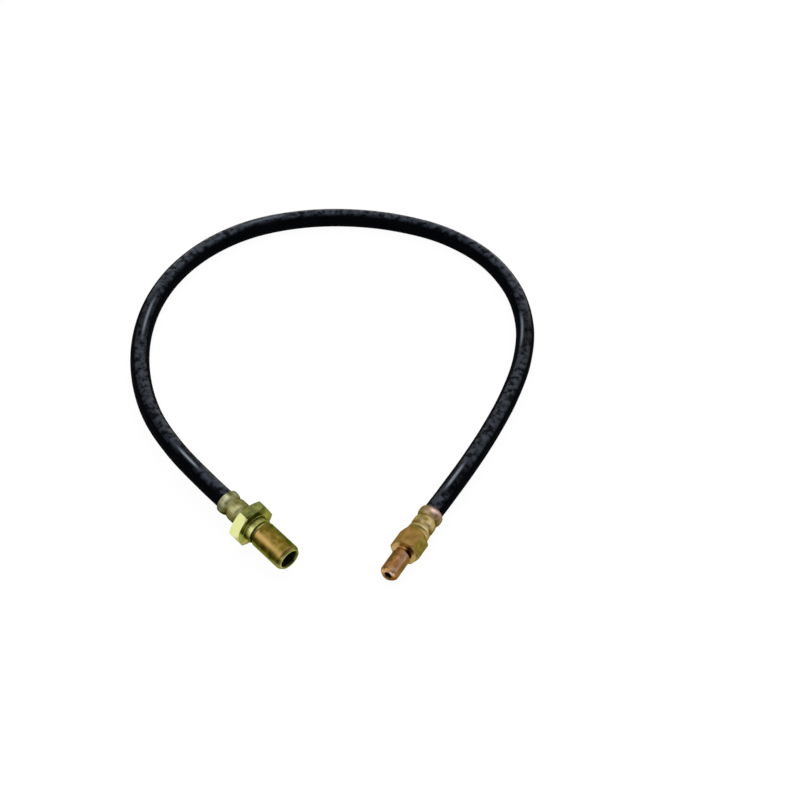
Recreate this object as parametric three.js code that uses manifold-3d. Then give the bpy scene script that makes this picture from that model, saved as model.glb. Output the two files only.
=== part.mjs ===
// Hydraulic brake-hose assembly: a reinforced rubber hose lying in an open loop,
// with a hexagon female fitting crimped on one end and a hexagon male fitting on the other.
//
// Units are millimetres, +Z is up and z = 0 is the surface that the assembly lies on.
// The origin is midway between the two fittings, and -Y is the way the female port faces.

import * as THREE from 'three';
import { mergeVertices } from 'three/addons/utils/BufferGeometryUtils.js';
import Module from 'manifold-3d';

const wasm = await Module();
wasm.setup();

// ---------------------------------------------------------------- driving dimensions

const GAP = 0.3;                 // clearance kept between pieces that touch in the real assembly

// Where each fitting's free end is, the way the hose leaves it (degrees from +X) and the
// size across the flats of its hexagon, which lies on the surface.
const FEMALE = { x: -35.4, y: -4.6, heading: 90, flats: 22 };
const MALE = { x: -0.2, y: -40.3, heading: 19, flats: 14.3 };

// Every station below is a distance along a fitting's axis, from its free end.
const MOUTH = 49;                // mouth of the ferrule, where the hose comes out
const HOSE_END = 36.5;           // end of the hose, inside the ferrule

// Hose: five bonded layers, each given by its wall. Radii are to the corners of the section.
const HOSE_SIDES = 12;
const HOSE_STEPS = 26;
const HOSE_BORE_RADIUS = 1.7;
const LAYER_GAP = 0.31;          // leaves GAP between the flats of neighbouring layers
const LINER_WALL = 0.7;
const BRAID_WALL = 0.35;
const TIE_WALL = 0.25;
const COVER_WALL = 0.66;
const LYING_HEIGHT = 5.28;       // centreline of the hose where it lies on the surface

const TURNED_SIDES = 32;
const DRILLED_SIDES = 16;
const HEX_CHAMFER = 0.9;

// Female fitting
const BARREL_RADIUS = 7.2;
const BARREL_FACE_RADIUS = 6.1;
const BARREL_CHAMFER = 1.7;
const CLIP_GROOVE = { from: 20.6, to: 22.6, radius: 6.2 };
const FEMALE_HEX = { from: 26.8, to: 32.7 };
const PORT_MOUTH_RADIUS = 5.3;
const PORT_THREAD_END = 12;
const PORT_DEPTH = 16.2;
const PORT_BOTTOM_RADIUS = 4.3;
const SEAT_HEIGHT = 3.7;
const SEAT_TIP_RADIUS = 1.9;
const SEAT_HOLE_RADIUS = 1.2;

// Male fitting
const MALE_TIP_RADIUS = 3.4;
const MALE_THREAD_END = 15.4;
const UNDERCUT_RADIUS = 4.2;
const MALE_HEX = { from: 17.7, to: 30 };
const MALE_SHOULDER_RADIUS = 6.2;
const COUNTERSINK_RADIUS = 2.1;

// M10 x 1 thread, in the port and on the male end
const THREAD_PITCH = 1;
const THREAD_MAJOR = 4.95;
const THREAD_MINOR = 4.45;
const THREAD_SIDES = 18;
const THREAD_ROWS = 3;           // rows of points in each pitch

// Both bodies end in a neck: the ferrule's floor is caught between shoulder and locking ring.
const PASSAGE_RADIUS = 1.5;      // drilled way for the fluid
const STEM_SEAT_RADIUS = 1.7;    // counterbore that holds the stem
const STEM_SEAT_FROM = 29.7;
const SHOULDER_END = 32.7;
const NECK_RADIUS = 3.6;
const LOCK_RING = { from: 34.8, to: 36.2, radius: 4.4 };

const FERRULE_LENGTH = 16;
const FERRULE_BORE_RADIUS = 5.62;
const FERRULE_BEAD_RADIUS = 6.6;
const FERRULE_BODY_RADIUS = 6.2;
const CRIMPS = [12.6, 5.5];      // how far the two grooves are from the mouth
const CRIMP_RADIUS = 5.98;
const CRIMP_FLOOR = 0.5;         // half the width of a groove's floor
const CRIMP_SIDE = 0.9;          // length of each of its sloping sides
const FERRULE_FLOOR = 1.5;
const FERRULE_HOLE_RADIUS = 3.95;

const STEM_RADIUS = 1.15;
const STEM_BARB_RADIUS = 1.32;
const STEM_BORE_RADIUS = 0.8;
const STEM_FROM = 30;
const STEM_TO = 48;
const STEM_BARBS = 4;
const STEM_BARB_PITCH = 2.6;

// ---------------------------------------------------------------- materials

const rubber = (color) => new THREE.MeshStandardMaterial({ color, roughness: 0.45, metalness: 0 });
const yarn = (color) => new THREE.MeshStandardMaterial({ color, roughness: 0.9, metalness: 0 });
const metal = (color) => new THREE.MeshStandardMaterial({ color, roughness: 0.35, metalness: 1 });

// ---------------------------------------------------------------- helpers

/** A closed geometry as a solid for cutting and joining. */
function toSolid(geometry) {
  const bare = geometry.clone();
  bare.deleteAttribute('normal');
  bare.deleteAttribute('uv');
  const merged = mergeVertices(bare, 1e-4);
  const corners = merged.index.array;
  const triangles = [];
  for (let i = 0; i < corners.length; i += 3) {
    const [a, b, c] = corners.subarray(i, i + 3);
    if (a !== b && b !== c && c !== a) triangles.push(a, b, c);
  }
  return new wasm.Manifold(new wasm.Mesh({
    numProp: 3,
    vertProperties: new Float32Array(merged.attributes.position.array),
    triVerts: new Uint32Array(triangles),
  }));
}

/** A cut or joined solid as a named piece. */
function toPiece(name, solid, material) {
  const { vertProperties, triVerts } = solid.getMesh();
  const geometry = new THREE.BufferGeometry();
  geometry.setAttribute('position', new THREE.Float32BufferAttribute(vertProperties, 3));
  geometry.setIndex(new THREE.Uint32BufferAttribute(triVerts, 1));
  geometry.computeVertexNormals();
  const mesh = new THREE.Mesh(geometry, material);
  mesh.name = name;
  return mesh;
}

/** Turns an outline of [radius, station] points round the fitting's axis, local +Y. */
function turned(outline, sides = TURNED_SIDES) {
  const points = outline.map(([radius, station]) => new THREE.Vector2(radius, station));
  return toSolid(new THREE.LatheGeometry(points, sides));
}

/** Hexagon bar with two level flats, its corners turned off at both ends. */
function hexagon(flats, { from, to }) {
  const cornerRadius = flats / Math.sqrt(3);
  const bar = new THREE.CylinderGeometry(cornerRadius, cornerRadius, to - from, 6);
  bar.rotateY(Math.PI / 6);
  bar.translate(0, (from + to) / 2, 0);
  const faceRadius = flats / 2 - 0.2;
  const slope = HEX_CHAMFER / (cornerRadius - faceRadius);
  const outerRadius = cornerRadius + 0.2;
  const rise = (outerRadius - faceRadius) * slope;
  const corners = turned([
    [0, from],
    [faceRadius, from],
    [outerRadius, from + rise],
    [outerRadius, to - rise],
    [faceRadius, to],
    [0, to],
  ]);
  return toSolid(bar).intersect(corners);
}

/** A rod with a right-hand thread along it, as one closed grid of points. */
function threadedRod(from, to, clearance = 0) {
  const rows = Math.round((to - from) / THREAD_PITCH * THREAD_ROWS);
  const positions = [];
  for (let row = 0; row <= rows; row++) {
    const station = from + (to - from) * row / rows;
    for (let side = 0; side < THREAD_SIDES; side++) {
      const turn = side / THREAD_SIDES;
      const phase = station / THREAD_PITCH - turn;
      const height = 1 - Math.abs(2 * (phase - Math.floor(phase)) - 1);
      const radius = THREAD_MINOR + (THREAD_MAJOR - THREAD_MINOR) * height + clearance;
      const angle = turn * 2 * Math.PI;
      positions.push(radius * Math.sin(angle), station, radius * Math.cos(angle));
    }
  }
  const endCentre = positions.length / 3;
  positions.push(0, from, 0, 0, to, 0);
  const index = [];
  for (let side = 0; side < THREAD_SIDES; side++) {
    const next = (side + 1) % THREAD_SIDES;
    for (let row = 0; row < rows; row++) {
      const [a, b] = [row * THREAD_SIDES + side, row * THREAD_SIDES + next];
      const [c, d] = [a + THREAD_SIDES, b + THREAD_SIDES];
      index.push(a, b, d, a, d, c);
    }
    const last = rows * THREAD_SIDES;
    index.push(endCentre, next, side);
    index.push(endCentre + 1, last + side, last + next);
  }
  const geometry = new THREE.BufferGeometry();
  geometry.setAttribute('position', new THREE.Float32BufferAttribute(positions, 3));
  geometry.setIndex(index);
  return toSolid(geometry);
}

/** Neck and locking ring that stand out behind a body, the same on both fittings. */
function neck() {
  return turned([
    [0, SHOULDER_END - 1],
    [NECK_RADIUS, SHOULDER_END - 1],
    [NECK_RADIUS, LOCK_RING.from],
    [LOCK_RING.radius, LOCK_RING.from],
    [LOCK_RING.radius, LOCK_RING.to - 0.4],
    [LOCK_RING.radius - 0.4, LOCK_RING.to],
    [0, LOCK_RING.to],
  ]);
}

/** The drilled way through a body and the counterbore behind it that holds the stem. */
function passage(from) {
  return turned([
    [0, from],
    [PASSAGE_RADIUS, from],
    [PASSAGE_RADIUS, STEM_SEAT_FROM],
    [STEM_SEAT_RADIUS, STEM_SEAT_FROM],
    [STEM_SEAT_RADIUS, LOCK_RING.to + 1],
    [0, LOCK_RING.to + 1],
  ], DRILLED_SIDES);
}

// ---------------------------------------------------------------- hose

/** A point on a fitting's axis, in the frame of the whole assembly. */
function onAxis({ x, y, heading, flats }, station) {
  const angle = THREE.MathUtils.degToRad(heading);
  const [dx, dy] = [station * Math.cos(angle), station * Math.sin(angle)];
  return new THREE.Vector3(x + dx, y + dy, flats / 2);
}

// The hose leaves both ferrules straight, sags to the surface and lies there in an open loop.
// These points are its centreline between the two straight ends.
const LOOP = [
  [-35.3, 59.2, 10.9],
  [-32.7, 88.7, 9.3],
  [-25.2, 117.2, 6.9],
  [-11.5, 143.5, 5.6],
  [7.1, 166.3, LYING_HEIGHT],
  [30.5, 184.8, LYING_HEIGHT],
  [57.4, 197.3, LYING_HEIGHT],
  [86.3, 202.9, LYING_HEIGHT],
  [115.8, 201.2, LYING_HEIGHT],
  [144.3, 191.7, LYING_HEIGHT],
  [169.8, 176.2, LYING_HEIGHT],
  [191.3, 155.7, LYING_HEIGHT],
  [207.1, 130.9, LYING_HEIGHT],
  [213.2, 101.7, LYING_HEIGHT],
  [207.1, 73, LYING_HEIGHT],
  [191.1, 47.9, LYING_HEIGHT],
  [168.6, 28.2, LYING_HEIGHT],
  [143.1, 13.2, LYING_HEIGHT],
  [116, 0.7, 5.7],
  [88.3, -10.2, 6.6],
  [60, -19.9, 7.1],
];

function hoseLayer(name, path, innerRadius, outerRadius, material) {
  const ring = (radius) => Array.from({ length: HOSE_SIDES }, (_, i) => {
    const angle = i * 2 * Math.PI / HOSE_SIDES;
    return new THREE.Vector2(radius * Math.cos(angle), radius * Math.sin(angle));
  });
  const section = new THREE.Shape(ring(outerRadius));
  section.holes.push(new THREE.Path(ring(innerRadius).reverse()));
  const geometry = new THREE.ExtrudeGeometry(section, { steps: HOSE_STEPS, extrudePath: path });
  const mesh = new THREE.Mesh(geometry, material);
  mesh.name = name;
  return mesh;
}

function buildHose() {
  const path = new THREE.CatmullRomCurve3([
    onAxis(FEMALE, HOSE_END),
    onAxis(FEMALE, MOUTH),
    ...LOOP.map(([x, y, z]) => new THREE.Vector3(x, y, z)),
    onAxis(MALE, MOUTH),
    onAxis(MALE, HOSE_END),
  ]);
  const layers = [
    ['hose_liner', LINER_WALL, rubber(0x1c1c1e)],
    ['hose_inner_braid', BRAID_WALL, yarn(0xd9d2bf)],
    ['hose_tie_rubber', TIE_WALL, rubber(0x242426)],
    ['hose_outer_braid', BRAID_WALL, yarn(0xd9d2bf)],
    ['hose_cover', COVER_WALL, rubber(0x15171b)],
  ];
  const hose = new THREE.Group();
  let radius = HOSE_BORE_RADIUS;
  for (const [name, wall, material] of layers) {
    hose.add(hoseLayer(name, path, radius, radius + wall, material));
    radius += wall + LAYER_GAP;
  }
  return hose;
}

// ---------------------------------------------------------------- fittings

/** Crimped shell: a bead at its mouth, two crimp grooves and a floor that catches the neck. */
function buildFerrule(name) {
  const back = MOUTH - FERRULE_LENGTH;
  const [first, second] = CRIMPS.map((depth) => MOUTH - depth);
  const groove = (centre, radiusAfter) => [
    [FERRULE_BODY_RADIUS, centre - CRIMP_FLOOR - CRIMP_SIDE],
    [CRIMP_RADIUS, centre - CRIMP_FLOOR],
    [CRIMP_RADIUS, centre + CRIMP_FLOOR],
    [radiusAfter, centre + CRIMP_FLOOR + CRIMP_SIDE],
  ];
  const shell = turned([
    [FERRULE_HOLE_RADIUS, back],
    [FERRULE_BODY_RADIUS - 0.4, back],
    [FERRULE_BODY_RADIUS, back + 0.5],
    ...groove(first, FERRULE_BODY_RADIUS),
    ...groove(second, FERRULE_BEAD_RADIUS),
    [FERRULE_BEAD_RADIUS, MOUTH - 0.5],
    [FERRULE_BEAD_RADIUS - 0.3, MOUTH],
    [FERRULE_BORE_RADIUS, MOUTH],
    [FERRULE_BORE_RADIUS, back + FERRULE_FLOOR],
    [FERRULE_HOLE_RADIUS, back + FERRULE_FLOOR],
    [FERRULE_HOLE_RADIUS, back],
  ]);
  return toPiece(name, shell, metal(0xa39a55));
}

/** Thin barbed tube that holds the hose open under the crimp. */
function buildStem(name) {
  const outline = [
    [STEM_BORE_RADIUS, STEM_FROM],
    [STEM_BARB_RADIUS, STEM_FROM],
    [STEM_BARB_RADIUS, HOSE_END + 0.7],
  ];
  for (let barb = 0; barb < STEM_BARBS; barb++) {
    const start = HOSE_END + 1.1 + barb * STEM_BARB_PITCH;
    outline.push([STEM_RADIUS, start]);
    outline.push([STEM_BARB_RADIUS, start + 0.2]);
    outline.push([STEM_BARB_RADIUS, start + 0.9]);
  }
  outline.push([STEM_RADIUS - 0.1, STEM_TO]);
  outline.push([STEM_BORE_RADIUS, STEM_TO]);
  outline.push([STEM_BORE_RADIUS, STEM_FROM]);
  return toPiece(name, turned(outline, DRILLED_SIDES), metal(0xb3b0a6));
}

/** Barrel with a retaining-clip groove, a hexagon and a threaded port, cut from one bar. */
function buildFemaleBody() {
  const barrel = turned([
    [0, 0],
    [BARREL_FACE_RADIUS, 0],
    [BARREL_RADIUS, BARREL_CHAMFER],
    [BARREL_RADIUS, CLIP_GROOVE.from],
    [CLIP_GROOVE.radius, CLIP_GROOVE.from],
    [CLIP_GROOVE.radius, CLIP_GROOVE.to],
    [BARREL_RADIUS, CLIP_GROOVE.to],
    [BARREL_RADIUS, FEMALE_HEX.from + 1],
    [0, FEMALE_HEX.from + 1],
  ]);
  const port = turned([
    [0, -1],
    [PORT_MOUTH_RADIUS, -1],
    [PORT_MOUTH_RADIUS, 0],
    [PORT_BOTTOM_RADIUS, PORT_MOUTH_RADIUS - PORT_BOTTOM_RADIUS],
    [PORT_BOTTOM_RADIUS, PORT_DEPTH],
    [0, PORT_DEPTH],
  ]);
  const tap = threadedRod(-THREAD_PITCH, PORT_THREAD_END, 0.05);
  const body = barrel
    .add(hexagon(FEMALE.flats, FEMALE_HEX))
    .add(neck())
    .subtract(port)
    .subtract(tap)
    .subtract(passage(PORT_DEPTH - 1));
  return toPiece('female_body', body, metal(0xb59a4a));
}

/** Flare seat at the bottom of the port: a cone with a hole down its middle. */
function buildFlareSeat() {
  const bottom = PORT_DEPTH - GAP;
  const tip = bottom - SEAT_HEIGHT;
  const radius = PORT_BOTTOM_RADIUS - GAP - 0.05;
  const seat = turned([
    [SEAT_HOLE_RADIUS, tip],
    [SEAT_TIP_RADIUS, tip],
    [radius, tip + radius - SEAT_TIP_RADIUS],
    [radius, bottom],
    [SEAT_HOLE_RADIUS, bottom],
    [SEAT_HOLE_RADIUS, tip],
  ], DRILLED_SIDES);
  return toPiece('female_flare_seat', seat, metal(0xc9a24e));
}

/** Threaded nose, undercut, long hexagon and round shoulder, cut from one bar. */
function buildMaleBody() {
  const nose = turned([
    [0, 0],
    [MALE_TIP_RADIUS, 0],
    [THREAD_MAJOR + 1, THREAD_MAJOR + 1 - MALE_TIP_RADIUS],
    [THREAD_MAJOR + 1, MALE_THREAD_END + 1],
    [0, MALE_THREAD_END + 1],
  ]);
  const shank = turned([
    [0, MALE_THREAD_END - 1],
    [UNDERCUT_RADIUS, MALE_THREAD_END - 1],
    [UNDERCUT_RADIUS, MALE_HEX.from + 1],
    [MALE_SHOULDER_RADIUS, MALE_HEX.from + 1],
    [MALE_SHOULDER_RADIUS, SHOULDER_END - 0.5],
    [MALE_SHOULDER_RADIUS - 0.5, SHOULDER_END],
    [0, SHOULDER_END],
  ]);
  const countersink = turned([
    [0, -1],
    [COUNTERSINK_RADIUS, -1],
    [COUNTERSINK_RADIUS, 0],
    [COUNTERSINK_RADIUS - 0.8, 0.8],
    [0, 0.8],
  ], DRILLED_SIDES);
  const body = threadedRod(-THREAD_PITCH, MALE_THREAD_END)
    .intersect(nose)
    .add(shank)
    .add(hexagon(MALE.flats, MALE_HEX))
    .add(neck())
    .subtract(countersink)
    .subtract(passage(-1));
  return toPiece('male_body', body, metal(0xad7f3a));
}

/** Lays a fitting's pieces on one of its flats, facing as its heading says. */
function lay(fitting, pieces) {
  const group = new THREE.Group();
  group.add(...pieces);
  group.position.copy(onAxis(fitting, 0));
  group.rotation.z = THREE.MathUtils.degToRad(fitting.heading - 90);
  return group;
}

const hoseAssembly = new THREE.Group();
hoseAssembly.add(
  buildHose(),
  lay(FEMALE, [
    buildFemaleBody(),
    buildFlareSeat(),
    buildStem('female_stem'),
    buildFerrule('female_ferrule'),
  ]),
  lay(MALE, [
    buildMaleBody(),
    buildStem('male_stem'),
    buildFerrule('male_ferrule'),
  ]),
);

export default hoseAssembly;
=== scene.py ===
# %% [markdown]
# # Hydraulic hose assembly
#
# A rubber brake hose lies in an open loop. A steel fitting is crimped on each end: a female
# one with a large thin hexagon, and a male one with a long hexagon. The CAD model gives every
# piece its place and size. This scene gives every piece its look.
#
# Lengths in the tables below are in millimetres, and one factor turns them into metres.

import math

import bmesh
import bpy
import numpy as np
from mathutils import Matrix, Vector


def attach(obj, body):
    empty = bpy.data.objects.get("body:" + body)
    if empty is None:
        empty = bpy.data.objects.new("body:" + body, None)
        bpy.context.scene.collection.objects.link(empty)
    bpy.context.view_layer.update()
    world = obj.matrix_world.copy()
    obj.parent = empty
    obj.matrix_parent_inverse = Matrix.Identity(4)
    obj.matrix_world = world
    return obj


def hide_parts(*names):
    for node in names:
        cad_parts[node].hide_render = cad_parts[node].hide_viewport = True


MM = 0.001

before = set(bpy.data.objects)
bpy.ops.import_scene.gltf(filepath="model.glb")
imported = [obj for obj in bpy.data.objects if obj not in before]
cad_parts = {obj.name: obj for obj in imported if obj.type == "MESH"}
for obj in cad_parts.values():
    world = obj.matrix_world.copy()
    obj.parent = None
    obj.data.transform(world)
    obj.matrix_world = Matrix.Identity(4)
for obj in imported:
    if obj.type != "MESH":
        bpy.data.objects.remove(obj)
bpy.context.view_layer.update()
print("CAD nodes:", ", ".join(sorted(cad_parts)))

# %% [markdown]
# ## The camera
#
# The photo looks down at the loop at 45 degrees from about 1.2 m away, with the camera
# rolled a little. The hose's thickness, which grows towards the front, gives the distance.

# %% Camera
AIM = Vector((91.44, 47.14, 5.25)) * MM
CAMERA_DISTANCE = 1158 * MM
CAMERA_BEARING = math.radians(39.08)     # the way it looks, from +X towards +Y
CAMERA_DOWN = math.radians(45)
CAMERA_ROLL = math.radians(10.55)
CAMERA_ANGLE = math.radians(21.37)


def camera_matrix():
    """The camera's place: it looks at AIM, leaning by CAMERA_ROLL."""
    level = Vector((math.cos(CAMERA_BEARING), math.sin(CAMERA_BEARING), 0))
    down = Vector((0, 0, -1))
    forward = level * math.cos(CAMERA_DOWN) + down * math.sin(CAMERA_DOWN)
    right = forward.cross(Vector((0, 0, 1))).normalized()
    up = right.cross(forward)
    leaning_right = right * math.cos(CAMERA_ROLL) + up * math.sin(CAMERA_ROLL)
    leaning_up = up * math.cos(CAMERA_ROLL) - right * math.sin(CAMERA_ROLL)
    turned = Matrix((leaning_right, leaning_up, -forward)).transposed().to_4x4()
    return Matrix.Translation(AIM - forward * CAMERA_DISTANCE) @ turned


camera_data = bpy.data.cameras.new("camera")
camera_data.sensor_fit = "HORIZONTAL"
camera_data.angle = CAMERA_ANGLE
camera_data.clip_start = 0.01
camera = bpy.data.objects.new("camera", camera_data)
camera.matrix_world = camera_matrix()
bpy.context.scene.collection.objects.link(camera)
bpy.context.scene.camera = camera
print("camera at", [round(x, 3) for x in camera.location])

# %% [markdown]
# ## Colours and node helpers
#
# Colours are written as sRGB hex, as a picture editor shows them. One small helper adds a
# node with its settings and inputs, so that each material reads as a short list.

# %% Helpers for materials


def srgb(text):
    """An sRGB hex colour as the linear RGBA that shaders want."""
    channels = [int(text[i:i + 2], 16) / 255 for i in (1, 3, 5)]
    linear = [c / 12.92 if c <= 0.04045 else ((c + 0.055) / 1.055) ** 2.4 for c in channels]
    return (*linear, 1.0)


class Shader:
    """A material and a short way to add nodes to it."""

    def __init__(self, name):
        self.material = bpy.data.materials.new(name)
        self.material.use_nodes = True
        self.tree = self.material.node_tree
        self.tree.nodes.clear()
        self.output = self.tree.nodes.new("ShaderNodeOutputMaterial")

    def add(self, kind, inputs=None, **settings):
        """Adds a node. An input's value is a number, a colour or another node's socket."""
        node = self.tree.nodes.new(kind)
        for key, value in settings.items():
            setattr(node, key, value)
        for key, value in (inputs or {}).items():
            if isinstance(value, bpy.types.NodeSocket):
                self.tree.links.new(value, node.inputs[key])
            else:
                node.inputs[key].default_value = value
        return node

    def noise(self, scale, detail, roughness=0.5):
        """Noise from about 0 to 1, with scale in bumps for each metre."""
        place = self.add("ShaderNodeTexCoord").outputs["Object"]
        inputs = {"Vector": place, "Scale": scale, "Detail": detail, "Roughness": roughness}
        return self.add("ShaderNodeTexNoise", inputs).outputs["Fac"]

    def attribute(self, name):
        """A number that the mesh's points carry."""
        return self.add("ShaderNodeAttribute", attribute_name=name).outputs["Fac"]

    def math(self, operation, a, b=0.0):
        return self.add("ShaderNodeMath", {0: a, 1: b}, operation=operation).outputs[0]

    def ramp(self, value, stops):
        """Colours along a value: stops is a list of (position, hex colour)."""
        node = self.add("ShaderNodeValToRGB", {"Fac": value})
        elements = node.color_ramp.elements
        while len(elements) < len(stops):
            elements.new(0.5)
        for element, (position, colour) in zip(elements, stops):
            element.position = position
            element.color = srgb(colour)
        return node.outputs["Color"]

    def spread(self, value, low, high, to_low=0.0, to_high=1.0):
        """Maps low..high to to_low..to_high and holds it there."""
        inputs = {"Value": value, "From Min": low, "From Max": high,
                  "To Min": to_low, "To Max": to_high}
        return self.add("ShaderNodeMapRange", inputs).outputs["Result"]

    def mix(self, factor, a, b):
        """A colour from a to b."""
        node = self.add("ShaderNodeMix", data_type="RGBA")
        for name, value in {"Factor": factor, "A": a, "B": b}.items():
            socket = next(s for s in node.inputs if s.name == name and s.enabled)
            if isinstance(value, bpy.types.NodeSocket):
                self.tree.links.new(value, socket)
            else:
                socket.default_value = value
        return next(s for s in node.outputs if s.enabled)

    def bump(self, height, depth):
        """A bump whose height of 1 stands depth metres proud."""
        inputs = {"Height": height, "Distance": depth, "Strength": 1.0}
        return self.add("ShaderNodeBump", inputs).outputs["Normal"]

    def finish(self, inputs):
        """Ends the material with one surface."""
        surface = self.add("ShaderNodeBsdfPrincipled", inputs)
        self.tree.links.new(surface.outputs[0], self.output.inputs["Surface"])
        return self.material


# %% [markdown]
# ## Hose rubber
#
# The cover is extruded synthetic rubber, near black. Its crest has a satin shine with a slight
# blue cast, mottled by the dull bloom that new rubber has. Its flanks and underside keep the
# bloom all over. The world-space normal tells the crest from the flanks, so the shine is a
# painted sheen on whatever side faces up. A few stretches of the crest carry a thin bright line
# of painted highlight: one number says where, and "calm" says where the mottle round a line
# fades. A later cell puts both on the cover.

# %% Rubber
CREST = {"From Min": 0.72, "From Max": 1.0}     # upward part of the normal, flank to crest
MOTTLED_SHINE = (0.04, 0.68)                    # under the bloom, and where it is rubbed off
CALM_SHARE = 0.15                               # of the mottled shine, next to a bright line
PAINTED_HIGHLIGHT_SHINE = 5.0
LEAST_SHINE = 0.01
FLANK_ROUGHNESS = 0.75
CREST_ROUGHNESS = 0.24


def make_rubber():
    s = Shader("extruded black rubber")
    patches = s.noise(90, 3)
    mottle = s.noise(280, 3, roughness=0.6)
    grain = s.noise(1600, 3)
    # Painted sheen: gloss and smoothness rise only where the surface faces up in the world.
    normal = s.add("ShaderNodeNewGeometry").outputs["Normal"]
    upward = s.add("ShaderNodeSeparateXYZ", {"Vector": normal}).outputs["Z"]
    facing_up = s.add("ShaderNodeMapRange", {"Value": upward, **CREST},
                   interpolation_type="SMOOTHSTEP").outputs["Result"]
    # Painted highlight: thin bright lines of gloss in the listed stretches of the crest.
    painted_highlight = s.attribute("painted_highlight")
    shine = s.spread(mottle, 0.4, 0.62, *MOTTLED_SHINE)
    shine = s.math("MULTIPLY", shine, s.spread(s.attribute("calm"), 0, 1, 1, CALM_SHARE))
    bright_line = s.math("MULTIPLY", painted_highlight, PAINTED_HIGHLIGHT_SHINE)
    gloss = s.math("ADD", bright_line, s.math("MULTIPLY", facing_up, shine))
    colour = s.mix(s.spread(patches, 0.35, 0.65), srgb("#050609"), srgb("#090a0e"))
    return s.finish({
        "Base Color": colour,
        "Roughness": s.spread(facing_up, 0, 0.4, FLANK_ROUGHNESS, CREST_ROUGHNESS),
        "Specular IOR Level": s.math("MAXIMUM", gloss, LEAST_SHINE),
        "Specular Tint": s.mix(painted_highlight, srgb("#c8dcff"), srgb("#e8f0f0")),
        "Normal": s.bump(s.math("ADD", mottle, s.math("MULTIPLY", grain, 0.2)), 0.0001),
    })


def make_inner_rubber():
    s = Shader("smooth inner rubber")
    return s.finish({
        "Base Color": srgb("#1b1b1d"),
        "Roughness": 0.5,
        "Normal": s.bump(s.noise(900, 2), 0.00002),
    })


RUBBER = make_rubber()
INNER_RUBBER = make_inner_rubber()
print("rubber:", RUBBER.name, "and", INNER_RUBBER.name)

# %% [markdown]
# ## Braid
#
# The two braids are yarn, wound both ways round the hose at about 55 degrees, the angle at
# which a braided hose neither grows nor shortens under pressure. The yarns are drawn by the
# distance along the hose and the turn round it, which the hose's geometry carries.

# %% Braid
BRAID_LAY = 12.9                         # length in which a yarn goes once round the hose
YARNS = 12                               # each way round


def make_braid():
    s = Shader("braided yarn")
    along = s.math("MULTIPLY", s.attribute("along"), 1 / (BRAID_LAY * MM))
    around = s.attribute("around")
    yarns = []
    for way in ("ADD", "SUBTRACT"):
        turn = s.math(way, along, around)
        wave = s.math("SINE", s.math("MULTIPLY", turn, YARNS * 2 * math.pi))
        yarns.append(s.spread(wave, -1, 1))
    # The tops of the yarns are paler and the valleys between them darker: painted shade in the
    # valleys.
    height = s.math("MAXIMUM", *yarns)
    return s.finish({
        "Base Color": s.mix(height, srgb("#8d8576"), srgb("#d8d1c0")),
        "Roughness": 0.85,
        "Normal": s.bump(height, 0.0001),
    })


BRAID = make_braid()
print("braid:", BRAID.name)

# %% [markdown]
# ## Yellow zinc plating
#
# Both fittings are steel with zinc plating and a yellow chromate dip. The chromate film is so
# thin that its colour changes with its thickness, from dark olive or brown where it is thick,
# over gold, to pale yellow where it is thin. It is uneven round each piece. Every point of a
# metal piece carries three numbers. The first is its place on that ramp of colours; besides the
# film's own unevenness it holds painted highlights, where a band or spot is made paler, and
# painted shade, where a side is made darker. The second leads from a cool ramp to a warm one,
# and the third is painted shade that darkens grooves, thread roots and bores. The two fittings
# come from different batches, so one is greener and the other more orange, and each ferrule
# has a tone of its own.

# %% Zinc plating
CLOUD = 0.12                             # how much the film changes in soft clouds


def make_zinc(name, cool_film, warm_film, painted_shade_colour, roughness, edge_tint):
    """Each ramp holds the chromate's colours, from the thickest coat (0) to the thinnest (1).
    """
    s = Shader(name)
    cloud = s.spread(s.noise(260, 3), 0.3, 0.7, -CLOUD, CLOUD)
    # This value holds painted highlights and painted shade as well as the film's own tone.
    film_and_painted_light = s.math("ADD", s.attribute("film_and_painted_light"), cloud)
    colour = s.mix(s.attribute("warmth"), s.ramp(film_and_painted_light, cool_film), s.ramp(film_and_painted_light, warm_film))
    # Painted shade: grooves, thread roots and bores darken towards this colour.
    colour = s.mix(s.attribute("painted_shade"), colour, srgb(painted_shade_colour))
    fine = s.noise(2600, 2)
    return s.finish({
        "Base Color": colour,
        "Metallic": 1.0,
        "Roughness": s.spread(fine, 0.3, 0.7, roughness - 0.05, roughness + 0.07),
        "Specular Tint": srgb(edge_tint),
        "Normal": s.bump(fine, 0.00001),
    })


ZINC_GREEN = make_zinc(
    "yellow zinc, greener batch",
    cool_film=[(0.0, "#20260a"), (0.25, "#666b3a"), (0.5, "#9a9852"), (0.75, "#c6c67c"),
               (1.0, "#e8eca2")],
    warm_film=[(0.0, "#14180a"), (0.2, "#42360a"), (0.4, "#65561c"), (0.6, "#96803e"),
               (0.8, "#b89a58"), (1.0, "#d0ac6c")],
    painted_shade_colour="#0b0d05",
    roughness=0.26,
    edge_tint="#a8ab84",
)
ZINC_GOLD = make_zinc(
    "yellow zinc, orange batch",
    cool_film=[(0.0, "#2c2408"), (0.3, "#847438"), (0.6, "#b49860"), (1.0, "#d6c08a")],
    warm_film=[(0.0, "#2c1c08"), (0.3, "#6a4c20"), (0.5, "#8a6434"), (0.7, "#ac8450"),
               (0.88, "#d09c62"), (1.0, "#e6c0a8")],
    painted_shade_colour="#2a0f05",
    roughness=0.28,
    edge_tint="#b8a684",
)
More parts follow.
